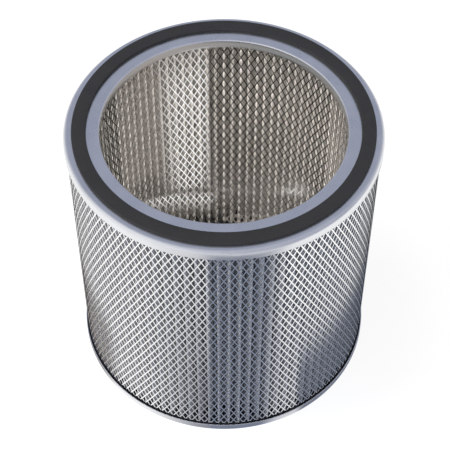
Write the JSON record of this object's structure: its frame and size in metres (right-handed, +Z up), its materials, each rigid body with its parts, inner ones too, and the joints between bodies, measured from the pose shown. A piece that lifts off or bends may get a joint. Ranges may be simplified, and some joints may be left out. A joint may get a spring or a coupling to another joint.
{
  "type": "air purifier filter cartridge",
  "caption": "Round air purifier filter cartridge, open at both ends, with pleated paper between inner and outer expanded metal tubes, pressed steel end caps and foam gaskets.",
  "frame": {"origin": "centre of the underside of the bottom gasket, on the cartridge's axis", "axes": "+Z up along the cartridge's axis, towards the top gasket"},
  "size_m": [0.3, 0.3, 0.302],
  "materials": {
    "zinc_sheet": "zinc-plated sheet, satin",
    "expanded_metal": "galvanised expanded metal, bright",
    "filter_paper": "matte pleated filter paper",
    "sealant": "set polyurethane sealant",
    "gasket_foam": "black foam rubber, matte"
  },
  "bodies": {
    "root": {"bottom_gasket": "gasket_foam", "bottom_end_cap": "zinc_sheet", "bottom_sealant": "sealant", "inner_liner": "expanded_metal", "pleated_media": "filter_paper", "outer_liner": "expanded_metal", "top_sealant": "sealant", "top_end_cap": "zinc_sheet", "top_gasket": "gasket_foam"}
  },
  "joints": []
}
